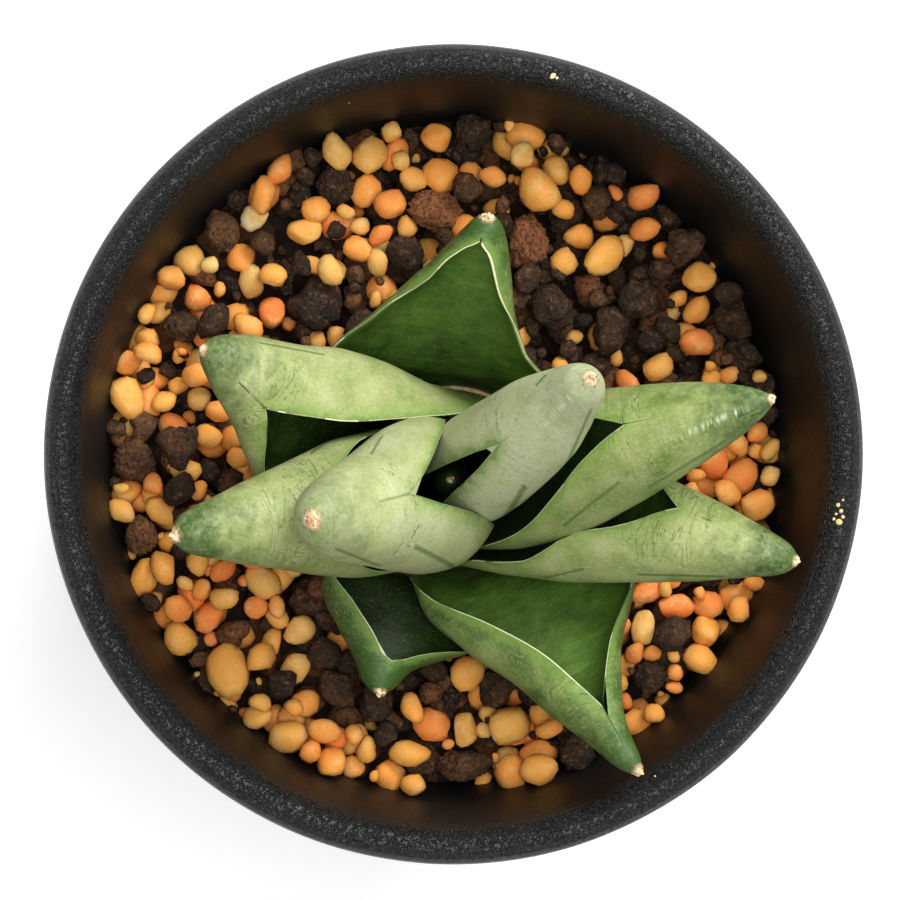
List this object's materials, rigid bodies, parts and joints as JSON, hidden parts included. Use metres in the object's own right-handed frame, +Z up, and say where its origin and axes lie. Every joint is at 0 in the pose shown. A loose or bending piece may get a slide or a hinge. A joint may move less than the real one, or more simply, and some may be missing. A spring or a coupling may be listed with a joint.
{
  "type": "potted snake plant",
  "caption": "Round black nursery pot filled with orange and brown mineral grit, holding a rosette of thick channelled grey-green leaves with dry tips.",
  "frame": {"origin": "centre of the pot's foot ring, on the surface that it stands on", "axes": "+Z up; seen from above, +Y is the top of the picture and +X its right side"},
  "size_m": [0.121, 0.121, 0.1311],
  "materials": {
    "black_plastic": "black moulded polypropylene, finely grained on the rim",
    "mixed_grit": "loose porous fired clay and lava grains",
    "crown_tissue": "living plant tissue, fibrous",
    "green_leaf": "living leaf, satin waxy skin",
    "pale_leaf": "living leaf, pale bloom over a waxy skin",
    "lava": "rough porous volcanic rock",
    "fired_clay": "matt granular clay"
  },
  "bodies": {
    "root": {"nursery_pot": "black_plastic", "grit_bed": "mixed_grit", "crown": "crown_tissue", "centre_bud": "green_leaf", "leaf_1": "pale_leaf", "leaf_2": "pale_leaf", "leaf_3": "pale_leaf", "leaf_4": "pale_leaf", "leaf_5": "pale_leaf", "leaf_6": "pale_leaf", "leaf_7": "green_leaf", "leaf_8": "green_leaf", "leaf_9": "green_leaf", "lava_stone_1": "lava", "lava_stone_2": "lava", "lava_stone_3": "lava", "lava_stone_4": "lava", "lava_stone_5": "lava", "lava_stone_6": "lava", "lava_stone_7": "lava", "lava_stone_8": "lava", "lava_stone_9": "lava", "lava_stone_10": "lava", "clay_stone_1": "fired_clay", "clay_stone_2": "fired_clay", "clay_stone_3": "fired_clay", "clay_stone_4": "fired_clay", "clay_stone_5": "fired_clay", "clay_stone_6": "fired_clay", "clay_stone_7": "fired_clay", "clay_stone_8": "fired_clay"}
  },
  "joints": []
}
